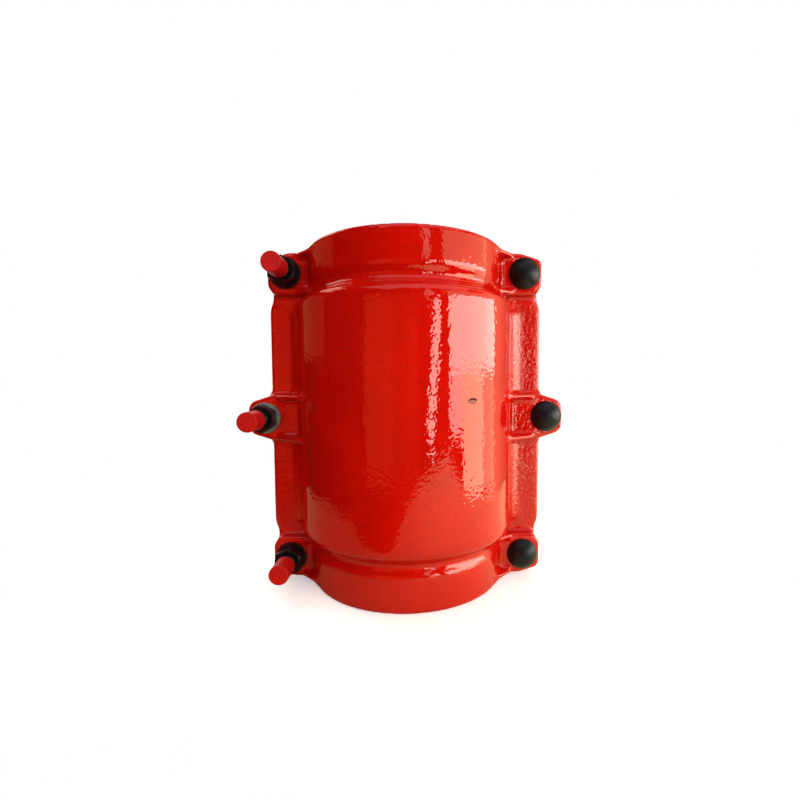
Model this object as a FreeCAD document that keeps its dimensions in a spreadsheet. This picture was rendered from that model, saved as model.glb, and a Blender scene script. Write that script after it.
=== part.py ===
import FreeCAD, Part
import Sketcher
import math
import os

# Pipe repair clamp: two identical cast half shells close round a damaged pipe
# and are drawn together by six bolts. Millimetres, +Z along the pipe, the
# parting plane at y = 0, the origin on the pipe's axis at half the clamp's length.

SIZES = (
    # the pipe, and the end collars that close round it
    ("pipe_radius", 80),
    ("bore_play", 2),
    ("clamp_length", 325.5),
    ("joint_gap", 2),
    ("collar_wall", 13),
    ("collar_length", 31.75),
    ("collar_lip_round", 2),
    ("rim_round", 1),
    # the neck between collar and barrel, and the barrel over the damaged stretch
    ("neck_wall", 8),
    ("neck_rise", 10.5),
    ("neck_round", 5.5),
    ("shoulder_rise", 9.5),
    ("shoulder_round", 7),
    ("barrel_rise", 11),
    ("barrel_wall", 9),
    ("end_wall", 4.5),
    ("chamber_round", 4),
    # the flange along each side
    ("flange_reach", 28.2),
    ("flange_thick", 14),
    ("flange_root_round", 5),
    ("barrel_root_round", 16.5),
    ("flange_draw_in", 3.5),
    ("flange_draw_start", 14),
    ("flange_draw_end", 6),
    ("flange_to_lug_round", 9),
    ("cast_edge_round", 2),
    # the bolt lugs that stand on the flange
    ("lug_thick", 23),
    ("corner_bolt_reach", 20.5),
    ("corner_bolt_inset", 23.75),
    ("corner_lug_reach", 17.5),
    ("corner_lug_half_height", 20.2),
    ("corner_slant_start", 3.5),
    ("corner_slant_drop", 6.5),
    ("corner_tail_reach", 12),
    ("corner_tail_rise", 8),
    ("middle_bolt_reach", 32),
    ("middle_lug_reach", 16.5),
    ("middle_lug_half_height", 22.4),
    ("middle_slant_start", 7),
    ("middle_slant_drop", 7.5),
    ("middle_lug_round", 10),
    ("lug_corner_round", 7),
    ("lug_bend_round", 12),
    # the gusset ribs from the shell's wall down to each lug
    ("rib_thick", 5),
    ("corner_rib_reach", 10),
    ("corner_rib_root", 32),
    ("end_rib_slope", 1.04),
    ("neck_rib_slope", 0.86),
    ("middle_rib_reach", 21.5),
    ("middle_rib_root", 34),
    ("middle_rib_slope", 0.667),
    # bolts with a domed head and an oval neck, M16
    ("bolt_radius", 8),
    ("bolt_length", 90),
    ("bolt_end_chamfer", 1.5),
    ("head_radius", 15),
    ("head_height", 10.5),
    ("head_rim", 2),
    ("oval_half_length", 10.5),
    ("oval_length", 9),
    ("oval_play", 0.4),
    ("hole_play", 1),
    # washers, nuts and the caps on the thread ends
    ("washer_radius", 15),
    ("washer_play", 0.75),
    ("washer_thick", 3),
    ("nut_flats", 24),
    ("nut_height", 13),
    ("nut_play", 0.1),
    ("nut_chamfer", 1.1),
    ("cap_length", 21.5),
    ("cap_wall", 1),
    ("cap_end_wall", 1.5),
    ("cap_play", 0.05),
    ("cap_round", 1.2),
    ("middle_left_cap_out", 5),
    # the rubber seal of each half: a half ring at each end and a strip along each flange
    ("seal_ring_inset", 15.75),
    ("seal_ring_width", 17.6),
    ("seal_ring_depth", 7.3),
    ("seal_strip_inset", 6.5),
    ("seal_strip_width", 5.5),
    ("seal_strip_depth", 5.8),
    ("seal_link_width", 8),
    ("seal_play", 0.2),
)

doc = FreeCAD.newDocument("pipe_repair_clamp")
sheet = doc.addObject("Spreadsheet::Sheet", "Sizes")


class Size:
    """A length known twice: as text for an expression and as its number."""

    def __init__(self, text, value):
        self.text = text
        self.value = value

    def __add__(self, other):
        other = as_size(other)
        return Size("(%s + %s)" % (self.text, other.text), self.value + other.value)

    def __sub__(self, other):
        other = as_size(other)
        return Size("(%s - %s)" % (self.text, other.text), self.value - other.value)

    def __mul__(self, other):
        other = as_size(other)
        return Size("(%s * %s)" % (self.text, other.text), self.value * other.value)

    def __truediv__(self, other):
        other = as_size(other)
        return Size("(%s / %s)" % (self.text, other.text), self.value / other.value)

    def __neg__(self):
        return Size("(-%s)" % self.text, -self.value)


def smaller(first, second):
    text = "min(%s; %s)" % (first.text, second.text)
    return Size(text, min(first.value, second.value))


def square_root(size):
    return Size("sqrt(%s)" % size.text, math.sqrt(size.value))


def as_size(number):
    if isinstance(number, Size):
        return number
    return Size("%g" % number, float(number))


def fill_sheet():
    """One row a size: its name, its number and the alias that expressions use."""
    sizes = {}
    for row, (name, value) in enumerate(SIZES, start=1):
        sheet.set("A%d" % row, name)
        sheet.set("B%d" % row, "%g" % value)
        sheet.setAlias("B%d" % row, name)
        sizes[name] = Size("Sizes.%s" % name, float(value))
    return sizes


S = fill_sheet()
doc.recompute()

ZERO = as_size(0)
# How far a cut reaches past the metal that it opens
PAST = as_size(1)
# How far an added round is sunk into the walls that it joins, so that it crosses them
SUNK = as_size(0.1)
# How far the hidden side of an added round lies inside the metal
HIDDEN = as_size(3)
# The short flat left between the two end arcs of an oval's end
OVAL_FLAT = as_size(0.01)
# Two points of a sketch are one when they lie this close
SAME_POINT = 1e-6
# An edge of a shell lies in a plane when it is this close to it
CLOSE = 0.01

# Places worked out from the sizes
half_gap = S["joint_gap"] / 2
half_length = S["clamp_length"] / 2
bore_radius = S["pipe_radius"] + S["bore_play"]
collar_radius = bore_radius + S["collar_wall"]
neck_radius = bore_radius + S["neck_wall"]
barrel_radius = collar_radius + S["barrel_rise"]
flange_half_width = barrel_radius + S["flange_reach"]
corner_bolt_x = collar_radius + S["corner_bolt_reach"]
corner_bolt_z = half_length - S["corner_bolt_inset"]
middle_bolt_x = barrel_radius + S["middle_bolt_reach"]
corner_rib_end = collar_radius + S["corner_rib_reach"]
middle_rib_end = barrel_radius + S["middle_rib_reach"]
seal_ring_z = half_length - S["seal_ring_inset"]
seal_ring_radius = bore_radius + S["seal_ring_depth"]
seal_strip_x = barrel_radius - S["seal_strip_inset"]
collar_z = half_length - S["collar_length"]
neck_z = collar_z - S["neck_rise"]
shoulder_z = neck_z - S["shoulder_rise"]
chamber_radius = barrel_radius - S["barrel_wall"]
widest_wall = max(barrel_radius.value, collar_radius.value)
flange_face = half_gap + S["flange_thick"]
lug_face = half_gap + S["lug_thick"]
hole_radius = S["bolt_radius"] + S["hole_play"]
nut_seat = lug_face + S["washer_thick"]
bolt_end = S["bolt_length"] - lug_face
cap_top = bolt_end + S["cap_end_wall"]
corner_lug_x = corner_bolt_x + S["corner_lug_reach"]
middle_lug_x = middle_bolt_x + S["middle_lug_reach"]
flange_inside_x = middle_bolt_x + S["middle_lug_reach"] / 2
barrel_root_z = shoulder_z - S["shoulder_round"]

# How far each nut is turned on its thread, in degrees, as it was left when tightened
NUT_TURNS = {
    "right_top": 12,
    "right_middle": 38,
    "right_bottom": 21,
    "left_top": 28,
    "left_middle": 33,
    "left_bottom": 24,
}

# Bolt places: name, x, z, and True where the head is on the front half
BOLTS = (
    ("right_top", corner_bolt_x, corner_bolt_z, True),
    ("right_middle", middle_bolt_x, ZERO, True),
    ("right_bottom", corner_bolt_x, -corner_bolt_z, True),
    ("left_top", -corner_bolt_x, corner_bolt_z, False),
    ("left_middle", -middle_bolt_x, ZERO, False),
    ("left_bottom", -corner_bolt_x, -corner_bolt_z, False),
)


def new_body(name):
    body = doc.addObject("PartDesign::Body", name)
    body.Label = name
    return body


def new_sketch(body, name, role, offset=None):
    """A sketch on one of the body's own origin planes, moved along its normal."""
    sketch = body.newObject("Sketcher::SketchObject", name)
    plane = [item for item in body.Origin.OriginFeatures if item.Role == role][0]
    sketch.AttachmentSupport = (plane, [""])
    sketch.MapMode = "FlatFace"
    if offset is not None:
        sketch.setExpression("AttachmentOffset.Base.z", offset.text)
    return sketch


def tie(sketch, ties):
    """Adds pairs (constraint, size or None) to a sketch and binds the sized ones."""
    rows = sketch.addConstraint([constraint for constraint, size in ties])
    for row, (constraint, size) in zip(rows, ties):
        if size is not None:
            sketch.setExpression("Constraints[%d]" % row, size.text)


def pinned(geometry, end, x, y):
    """Ties that hold one sketch point at its two sizes, or on an axis at zero."""
    ties = []
    for kind, axis, place in (("DistanceX", -2, x), ("DistanceY", -1, y)):
        if place.value == 0:
            ties.append((Sketcher.Constraint("PointOnObject", geometry, end, axis), None))
        else:
            ties.append((Sketcher.Constraint(kind, -1, 1, geometry, end, place.value), place))
    return ties


def rounded_corner(before, corner, after):
    """The arc that rounds one corner, between the points before and after it."""
    to_before = (before - corner[0]).normalize()
    to_after = (after - corner[0]).normalize()
    radius = corner[1]
    half_angle = to_before.getAngle(to_after) / 2
    run = radius / math.tan(half_angle)
    middle = (to_before + to_after).normalize()
    centre = corner[0] + middle * (radius / math.sin(half_angle))
    start = corner[0] + to_before * run
    end = corner[0] + to_after * run
    return start, centre - middle * radius, end


def draw_outline(sketch, corners):
    """A closed outline through corners (x, y) or rounded corners (x, y, radius)."""
    count = len(corners)
    points = [FreeCAD.Vector(c[0].value, c[1].value, 0) for c in corners]
    arcs = []
    for i, corner in enumerate(corners):
        if len(corner) == 2:
            arcs.append((points[i], points[i], points[i]))
        else:
            arcs.append(rounded_corner(points[i - 1], (points[i], corner[2].value),
                                       points[(i + 1) % count]))
    lines = []
    for i in range(count):
        line = Part.LineSegment(arcs[i][2], arcs[(i + 1) % count][0])
        lines.append(sketch.addGeometry(line, False))
    ties = []
    for i, corner in enumerate(corners):
        before, after = lines[i - 1], lines[i]
        if len(corner) == 2:
            ties.append((Sketcher.Constraint("Coincident", before, 2, after, 1), None))
            ties.extend(pinned(after, 1, corner[0], corner[1]))
            continue
        arc = sketch.addGeometry(Part.Arc(*arcs[i]), False)
        at_start = sketch.getPoint(arc, 1).distanceToPoint(arcs[i][0]) < SAME_POINT
        first = 1 if at_start else 2
        point = sketch.addGeometry(Part.Point(points[i]), True)
        ties.append((Sketcher.Constraint("Tangent", before, 2, arc, first), None))
        ties.append((Sketcher.Constraint("Tangent", after, 1, arc, 3 - first), None))
        ties.append((Sketcher.Constraint("PointOnObject", point, 1, before), None))
        ties.append((Sketcher.Constraint("PointOnObject", point, 1, after), None))
        ties.append((Sketcher.Constraint("Radius", arc, corner[2].value), corner[2]))
        ties.extend(pinned(point, 1, corner[0], corner[1]))
    tie(sketch, ties)


def draw_circle(sketch, x, y, radius):
    centre = FreeCAD.Vector(x.value, y.value, 0)
    circle = sketch.addGeometry(
        Part.Circle(centre, FreeCAD.Vector(0, 0, 1), radius.value), False)
    ties = [(Sketcher.Constraint("Radius", circle, radius.value), radius)]
    tie(sketch, ties + pinned(circle, 3, x, y))


def draw_dome(sketch, radius, seat, rim, top):
    """Half the section of a domed head: flat seat, straight rim and a round crown."""
    rise = abs(top.value - rim.value)
    crown = (radius.value ** 2 + rise ** 2) / (2 * rise)
    up = 1 if top.value > rim.value else -1
    centre = FreeCAD.Vector(0, top.value - up * crown, 0)
    edge = FreeCAD.Vector(radius.value, rim.value, 0)
    peak = FreeCAD.Vector(0, top.value, 0)
    between = centre + ((edge - centre).normalize() + (peak - centre).normalize()).normalize() * crown
    seat_middle = FreeCAD.Vector(0, seat.value, 0)
    seat_edge = FreeCAD.Vector(radius.value, seat.value, 0)
    axis = sketch.addGeometry(Part.LineSegment(peak, seat_middle), False)
    face = sketch.addGeometry(Part.LineSegment(seat_middle, seat_edge), False)
    side = sketch.addGeometry(Part.LineSegment(seat_edge, edge), False)
    arc = sketch.addGeometry(Part.Arc(edge, between, peak), False)
    at_start = sketch.getPoint(arc, 1).distanceToPoint(edge) < SAME_POINT
    first = 1 if at_start else 2
    ties = [
        (Sketcher.Constraint("Coincident", axis, 2, face, 1), None),
        (Sketcher.Constraint("Coincident", face, 2, side, 1), None),
        (Sketcher.Constraint("Coincident", side, 2, arc, first), None),
        (Sketcher.Constraint("Coincident", arc, 3 - first, axis, 1), None),
        (Sketcher.Constraint("PointOnObject", arc, 3, -2), None),
    ]
    ties.extend(pinned(axis, 1, ZERO, top))
    ties.extend(pinned(face, 1, ZERO, seat))
    ties.extend(pinned(side, 1, radius, seat))
    ties.extend(pinned(side, 2, radius, rim))
    tie(sketch, ties)


def draw_oval(sketch, x, y, half_width, half_length):
    """An upright slot shape: two half circles joined by straight sides."""
    radius = half_width - OVAL_FLAT
    draw_outline(sketch, (
        (x - half_width, y - half_length, radius),
        (x + half_width, y - half_length, radius),
        (x + half_width, y + half_length, radius),
        (x - half_width, y + half_length, radius),
    ))


def add_feature(body, kind, name, sketch, **lengths):
    """A feature of the body on one sketch, with its lengths bound to sizes."""
    feature = body.newObject("PartDesign::%s" % kind, name)
    feature.Profile = sketch
    for item, size in lengths.items():
        feature.setExpression(item, size.text)
    return feature


def turn_feature(body, kind, name, sketch, angle):
    """A revolution or groove about the sketch's upright axis, towards -Y."""
    feature = body.newObject("PartDesign::%s" % kind, name)
    feature.Profile = sketch
    feature.ReferenceAxis = (sketch, ["V_Axis"])
    feature.Angle = angle
    feature.Reversed = True
    return feature


def fillet_edges(body, name, base, radius, wanted):
    """Rounds the edges of the base feature that the wanted test picks."""
    doc.recompute()
    names = []
    for number, edge in enumerate(base.Shape.Edges, start=1):
        if wanted(edge):
            names.append("Edge%d" % number)
    fillet = body.newObject("PartDesign::Fillet", name)
    fillet.Base = (base, names)
    fillet.setExpression("Radius", radius.text)
    return fillet


def mirrored_corners(corners, x_side, z_side):
    return tuple((c[0] * x_side, c[1] * z_side) + tuple(c[2:]) for c in corners)


# The half shell


def shell_outside(body):
    """Collar, neck, barrel, neck and collar, as one turned profile."""
    upper = (
        (barrel_radius, shoulder_z, S["shoulder_round"]),
        (neck_radius, neck_z, S["neck_round"]),
        (collar_radius, collar_z, S["collar_lip_round"]),
        (collar_radius, half_length, S["rim_round"]),
        (ZERO, half_length),
    )
    lower = tuple((c[0], -c[1]) + tuple(c[2:]) for c in reversed(upper))
    sketch = new_sketch(body, "OutsideProfile", "XZ_Plane")
    draw_outline(sketch, lower + upper)
    return turn_feature(body, "Revolution", "Outside", sketch, 180)


def shell_flange(body):
    """The flat flange down both sides: out to the middle lug, in at the corner lugs."""
    draw_z = corner_bolt_z - S["corner_lug_half_height"]
    slant_x = middle_bolt_x - S["middle_slant_start"]
    slant = S["middle_slant_drop"] / (middle_lug_x - slant_x)
    lug_z = S["middle_lug_half_height"] - slant * (flange_half_width - slant_x)
    inside_z = S["middle_lug_half_height"] - slant * (flange_inside_x - slant_x)
    outer = (
        (flange_inside_x, inside_z),
        (flange_half_width, lug_z, S["flange_to_lug_round"]),
        (flange_half_width, draw_z - S["flange_draw_start"], S["lug_bend_round"]),
        (flange_half_width - S["flange_draw_in"], draw_z - S["flange_draw_end"] / 2),
        (flange_half_width - S["flange_draw_in"], corner_bolt_z),
    )
    right = tuple((c[0], -c[1]) + tuple(c[2:]) for c in reversed(outer)) + outer
    left = tuple((-c[0], c[1]) + tuple(c[2:]) for c in reversed(right))
    sketch = new_sketch(body, "FlangeOutline", "XZ_Plane")
    draw_outline(sketch, right + left)
    return add_feature(body, "Pad", "Flange", sketch, Length=flange_face)


def shell_barrel_root(body):
    """The wide hollow round from the barrel's straight side to the flange."""
    radius = S["barrel_root_round"]
    wall = barrel_radius - SUNK
    face = flange_face - SUNK
    sine = (face + radius) / (wall + radius)
    cosine = square_root(as_size(1) - sine * sine)
    flat_x = (wall + radius) * cosine + SUNK
    corner_x = (wall - face * sine) / cosine
    top_x = wall * cosine - SUNK * sine
    top_y = wall * sine + SUNK * cosine
    inside_y = face - HIDDEN
    right = (
        (top_x, -top_y),
        (top_x - HIDDEN, -inside_y),
        (flat_x, -inside_y),
        (flat_x, -face),
        (corner_x, -face, radius),
    )
    left = tuple((-c[0], c[1]) + tuple(c[2:]) for c in reversed(right))
    sketch = new_sketch(body, "BarrelRootSection", "XY_Plane", -barrel_root_z)
    draw_outline(sketch, right)
    draw_outline(sketch, left)
    return add_feature(body, "Pad", "BarrelRoot", sketch, Length=barrel_root_z * 2)


def corner_lug_outline():
    """The upper right corner lug, from inside the collar's wall outwards."""
    foot = (neck_radius + bore_radius) / 2
    top = corner_bolt_z + S["corner_lug_half_height"]
    base = corner_bolt_z - S["corner_lug_half_height"]
    return (
        (foot, base),
        (corner_bolt_x + S["corner_tail_reach"], base, S["rib_thick"]),
        (corner_lug_x, base + S["corner_tail_rise"], S["lug_corner_round"]),
        (corner_lug_x, top - S["corner_slant_drop"], S["lug_corner_round"]),
        (corner_bolt_x - S["corner_slant_start"], top, S["lug_bend_round"]),
        (foot, top),
    )


def middle_lug_outline():
    """The right middle lug, tapering outwards past the flange's edge."""
    foot = (barrel_radius + chamber_radius) / 2
    half = S["middle_lug_half_height"]
    upper = (
        (middle_lug_x, half - S["middle_slant_drop"], S["middle_lug_round"]),
        (middle_bolt_x - S["middle_slant_start"], half, S["lug_bend_round"]),
        (foot, half),
    )
    lower = tuple((c[0], -c[1]) + tuple(c[2:]) for c in reversed(upper))
    return lower + upper


def shell_lugs(body):
    """Six lugs: one at each corner and one at the middle of each side."""
    sketch = new_sketch(body, "LugOutlines", "XZ_Plane")
    for x_side in (1, -1):
        draw_outline(sketch, mirrored_corners(middle_lug_outline(), x_side, 1))
        for z_side in (1, -1):
            draw_outline(sketch, mirrored_corners(corner_lug_outline(), x_side, z_side))
    return add_feature(body, "Pad", "Lugs", sketch, Length=lug_face)


def shell_rib(body, name, base_z, end_x, root, slope):
    """A pair of ribs, left and right, at one height: a wedge from wall to lug."""
    root_x = end_x - root
    root_y = lug_face + slope * root
    corners = (
        (end_x, -flange_face),
        (end_x, -lug_face),
        (root_x, -root_y),
        (root_x, -flange_face),
    )
    sketch = new_sketch(body, name + "Profile", "XY_Plane", base_z)
    draw_outline(sketch, corners)
    draw_outline(sketch, mirrored_corners(corners, -1, 1))
    return add_feature(body, "Pad", name, sketch, Length=S["rib_thick"])


def shell_ribs(body):
    """Two ribs to each lug, flush with its upper and lower side."""
    lug_top = corner_bolt_z + S["corner_lug_half_height"]
    lug_base = corner_bolt_z - S["corner_lug_half_height"]
    middle = S["middle_lug_half_height"]
    thick = S["rib_thick"]
    end = corner_rib_end
    root = S["corner_rib_root"]
    shell_rib(body, "TopEndRib", lug_top - thick, end, root, S["end_rib_slope"])
    shell_rib(body, "TopNeckRib", lug_base, end, root, S["neck_rib_slope"])
    shell_rib(body, "BottomNeckRib", -lug_base - thick, end, root, S["neck_rib_slope"])
    shell_rib(body, "BottomEndRib", -lug_top, end, root, S["end_rib_slope"])
    end = middle_rib_end
    root = S["middle_rib_root"]
    shell_rib(body, "UpperMiddleRib", middle - thick, end, root, S["middle_rib_slope"])
    shell_rib(body, "LowerMiddleRib", -middle, end, root, S["middle_rib_slope"])


def shell_inside(body):
    """The chamber over the damaged stretch and the bore through both collars."""
    upper = (
        (chamber_radius, shoulder_z - S["end_wall"], S["chamber_round"]),
        (bore_radius, neck_z - S["end_wall"], S["neck_round"]),
        (bore_radius, half_length + PAST),
        (ZERO, half_length + PAST),
    )
    lower = tuple((c[0], -c[1]) + tuple(c[2:]) for c in reversed(upper))
    sketch = new_sketch(body, "InsideProfile", "XZ_Plane")
    draw_outline(sketch, lower + upper)
    return turn_feature(body, "Groove", "Inside", sketch, 180)


def shell_seal_seats(body):
    """Grooves for the seal: a ring at each end, and a strip and links in the joint face."""
    play = S["seal_play"]
    sketch = new_sketch(body, "RingSeats", "XZ_Plane")
    for side in (1, -1):
        place = seal_ring_z * side
        half = S["seal_ring_width"] / 2 + play
        draw_outline(sketch, (
            (S["pipe_radius"], place - half),
            (seal_ring_radius + play, place - half),
            (seal_ring_radius + play, place + half),
            (S["pipe_radius"], place + half),
        ))
    turn_feature(body, "Groove", "RingSeat", sketch, 180)
    sketch = new_sketch(body, "StripSeats", "XZ_Plane")
    inner = seal_strip_x - play
    outer = seal_strip_x + S["seal_strip_width"] + play
    link_top = seal_ring_z + S["seal_link_width"] / 2 + play
    link_base = seal_ring_z - S["seal_link_width"] / 2 - play
    corners = (
        (outer, -link_top),
        (outer, link_top),
        (S["pipe_radius"], link_top),
        (S["pipe_radius"], link_base),
        (inner, link_base),
        (inner, -link_base),
        (S["pipe_radius"], -link_base),
        (S["pipe_radius"], -link_top),
    )
    draw_outline(sketch, corners)
    draw_outline(sketch, mirrored_corners(corners, -1, 1))
    depth = half_gap + S["seal_strip_depth"] + play
    seats = add_feature(body, "Pocket", "StripSeat", sketch, Length=depth)
    seats.Reversed = True
    return seats


def shell_holes(body):
    """Oval holes under the bolt heads on the right, round holes on the left."""
    sketch = new_sketch(body, "BoltHoles", "XZ_Plane")
    for name, x, z, head_in_front in BOLTS:
        if head_in_front:
            draw_oval(sketch, x, z, S["bolt_radius"] + S["oval_play"],
                      S["oval_half_length"] + S["oval_play"])
        else:
            draw_circle(sketch, x, z, hole_radius)
    holes = add_feature(body, "Pocket", "BoltHole", sketch, Length=lug_face + PAST)
    holes.Reversed = True
    return holes


def shell_joint_face(body):
    """The machined joint face, half the gap short of the parting plane."""
    sketch = new_sketch(body, "JointFace", "XZ_Plane")
    reach = middle_lug_x + PAST
    draw_outline(sketch, (
        (-reach, -half_length - PAST),
        (reach, -half_length - PAST),
        (reach, half_length + PAST),
        (-reach, half_length + PAST),
    ))
    face = add_feature(body, "Pocket", "Joint", sketch, Length=half_gap)
    face.Reversed = True
    return face


def shell(name, turned):
    """One cast half shell; the other half is the same casting turned half round."""
    body = new_body(name)
    shell_outside(body)
    flange = shell_flange(body)
    root_round = smaller(S["flange_root_round"], S["neck_round"])
    root = fillet_edges(body, "FlangeRoot", flange, root_round, on_flange_root)
    fillet_edges(body, "FlangeEdge", root, S["cast_edge_round"], on_flange_edge)
    shell_barrel_root(body)
    lugs = shell_lugs(body)
    fillet_edges(body, "LugEdge", lugs, S["cast_edge_round"], on_lug_edge)
    shell_ribs(body)
    shell_inside(body)
    shell_seal_seats(body)
    shell_holes(body)
    shell_joint_face(body)
    body.Placement = turn_about_pipe(turned)
    return body


def lies_at(edge, depth):
    """True for an edge that lies whole in the upright plane at that depth."""
    reach = edge.BoundBox
    return max(abs(reach.YMin + depth.value), abs(reach.YMax + depth.value)) < CLOSE


def on_flange_root(edge):
    """Edges where the turned wall meets the flange's outer face."""
    reach = edge.BoundBox
    inside = max(abs(reach.XMin), abs(reach.XMax)) < widest_wall + CLOSE
    return lies_at(edge, flange_face) and inside and reach.ZLength > CLOSE


def on_flange_edge(edge):
    """The long outer edges of the flange, apart from its ends inside the lugs."""
    reach = edge.BoundBox
    outside = min(abs(reach.XMin), abs(reach.XMax)) > widest_wall + CLOSE
    upright = reach.XLength < CLOSE
    hidden = upright and abs(abs(reach.XMin) - flange_inside_x.value) < CLOSE
    return lies_at(edge, flange_face) and outside and reach.ZLength > CLOSE and not hidden


def on_lug_edge(edge):
    """The rims of the lugs' outer faces, apart from where they meet the turned wall."""
    reach = edge.BoundBox
    straight_or_round = edge.Curve.TypeId in ("Part::GeomLine", "Part::GeomCircle")
    beside_wall = max(abs(reach.XMin), abs(reach.XMax)) < widest_wall
    upright = reach.XLength < CLOSE
    return lies_at(edge, lug_face) and straight_or_round and not (beside_wall and upright)


def turn_about_pipe(turned):
    angle = 180 if turned else 0
    return FreeCAD.Placement(
        FreeCAD.Vector(0, 0, 0), FreeCAD.Rotation(FreeCAD.Vector(0, 0, 1), angle))


# The seals


def half_ring(name, side):
    """A half ring of the seal at one end of the clamp, on the -Y side."""
    rings = []
    for part, radius, extra in (("Outer", seal_ring_radius, ZERO),
                                ("Inner", S["pipe_radius"], PAST)):
        ring = doc.addObject("Part::Cylinder", name + part)
        width = S["seal_ring_width"] + extra
        ring.setExpression("Radius", radius.text)
        ring.setExpression("Height", width.text)
        ring.Angle = 180
        place = seal_ring_z * side - width / 2
        ring.setExpression("Placement.Base.z", place.text)
        ring.Placement.Rotation = FreeCAD.Rotation(FreeCAD.Vector(0, 0, 1), 180)
        rings.append(ring)
    cut = doc.addObject("Part::Cut", name)
    cut.Base, cut.Tool = rings
    return cut


def box(name, low, high):
    """A block between two corners, each given as three sizes."""
    block = doc.addObject("Part::Box", name)
    for item, start, end in zip(("Length", "Width", "Height"), low, high):
        block.setExpression(item, (end - start).text)
    for item, start in zip("xyz", low):
        block.setExpression("Placement.Base.%s" % item, start.text)
    return block


def seal(name, turned):
    """The moulded rubber loop in one half, its free face on the parting plane."""
    pieces = [half_ring(name + "TopRing", 1), half_ring(name + "BottomRing", -1)]
    deep = -(half_gap + S["seal_strip_depth"])
    inner = seal_strip_x
    outer = inner + S["seal_strip_width"]
    link = S["seal_link_width"] / 2
    ring_side = (seal_ring_radius + S["pipe_radius"]) / 2
    for side, low_x, high_x in (("Right", inner, outer), ("Left", -outer, -inner)):
        top = seal_ring_z + link
        pieces.append(box(name + side + "Strip", (low_x, deep, -top), (high_x, ZERO, top)))
    for side, low_x, high_x in (("Right", ring_side, outer), ("Left", -outer, -ring_side)):
        for end, z_side in (("Top", 1), ("Bottom", -1)):
            place = seal_ring_z * z_side
            pieces.append(box(name + side + end + "Link",
                              (low_x, deep, place - link), (high_x, ZERO, place + link)))
    loop = doc.addObject("Part::MultiFuse", name)
    loop.Label = name
    loop.Shapes = pieces
    loop.Refine = True
    loop.Placement = turn_about_pipe(turned)
    return loop


# Bolts, washers, nuts and caps. Each is made with its axis along Z and its
# underside at the lug's outer face, then laid along Y at its bolt's place.


def lay_along_bolt(piece, x, z, head_in_front, turned=0, out=ZERO):
    """Axis along the bolt: local +Z points from the head to the thread's end.

    The piece is first turned about that axis, and stands out by a length along it."""
    side = 1 if head_in_front else -1
    lay = FreeCAD.Rotation(FreeCAD.Vector(1, 0, 0), -90 * side)
    turn = FreeCAD.Rotation(FreeCAD.Vector(0, 0, 1), turned)
    piece.Placement = FreeCAD.Placement(FreeCAD.Vector(0, 0, 0), lay.multiply(turn))
    piece.setExpression("Placement.Base.x", x.text)
    piece.setExpression("Placement.Base.y", (out * side).text)
    piece.setExpression("Placement.Base.z", z.text)
    return piece


def bolt(name, x, z, head_in_front):
    """Domed head, oval neck that the lug keeps from turning, and thread."""
    body = new_body(name)
    seat = -lug_face
    rim = seat - S["head_rim"]
    top = seat - S["head_height"]
    sketch = new_sketch(body, "HeadProfile", "XZ_Plane")
    draw_dome(sketch, S["head_radius"], seat, rim, top)
    turn_feature(body, "Revolution", "Head", sketch, 360)
    sketch = new_sketch(body, "ShankProfile", "XZ_Plane")
    draw_outline(sketch, (
        (ZERO, rim),
        (S["bolt_radius"], rim),
        (S["bolt_radius"], bolt_end - S["bolt_end_chamfer"]),
        (S["bolt_radius"] - S["bolt_end_chamfer"], bolt_end),
        (ZERO, bolt_end),
    ))
    turn_feature(body, "Revolution", "Shank", sketch, 360)
    sketch = new_sketch(body, "OvalNeck", "XY_Plane", seat)
    draw_oval(sketch, ZERO, ZERO, S["bolt_radius"], S["oval_half_length"])
    add_feature(body, "Pad", "Neck", sketch, Length=S["oval_length"])
    return lay_along_bolt(body, x, z, head_in_front)


def washer(name, x, z, head_in_front):
    """A flat ring on the lug's outer face, under the nut."""
    body = new_body(name)
    sketch = new_sketch(body, "Ring", "XY_Plane", lug_face)
    draw_circle(sketch, ZERO, ZERO, S["washer_radius"])
    draw_circle(sketch, ZERO, ZERO, S["bolt_radius"] + S["washer_play"])
    add_feature(body, "Pad", "Washer", sketch, Length=S["washer_thick"])
    return lay_along_bolt(body, x, z, head_in_front)


def nut(name, x, z, head_in_front, turned):
    """A hexagon nut with both faces chamfered at its corners."""
    body = new_body(name)
    flat = S["nut_flats"] / 2
    sketch = new_sketch(body, "Hexagon", "XY_Plane", nut_seat)
    corner = flat / math.cos(math.pi / 6)
    draw_outline(sketch, tuple(
        (corner * math.cos(math.radians(60 * i)), corner * math.sin(math.radians(60 * i)))
        for i in range(6)))
    draw_circle(sketch, ZERO, ZERO, S["bolt_radius"] + S["nut_play"])
    add_feature(body, "Pad", "Nut", sketch, Length=S["nut_height"])
    for end, face, inward in (("Seat", nut_seat, 1), ("Free", nut_seat + S["nut_height"], -1)):
        sketch = new_sketch(body, end + "ChamferProfile", "XZ_Plane")
        outside = face - PAST * inward
        lost = face + S["nut_chamfer"] * inward
        draw_outline(sketch, (
            (flat, outside),
            (flat, face),
            (corner, lost),
            (corner + PAST, lost),
            (corner + PAST, outside),
        ))
        turn_feature(body, "Groove", end + "Chamfer", sketch, 360)
    return lay_along_bolt(body, x, z, head_in_front, turned=turned)


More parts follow.
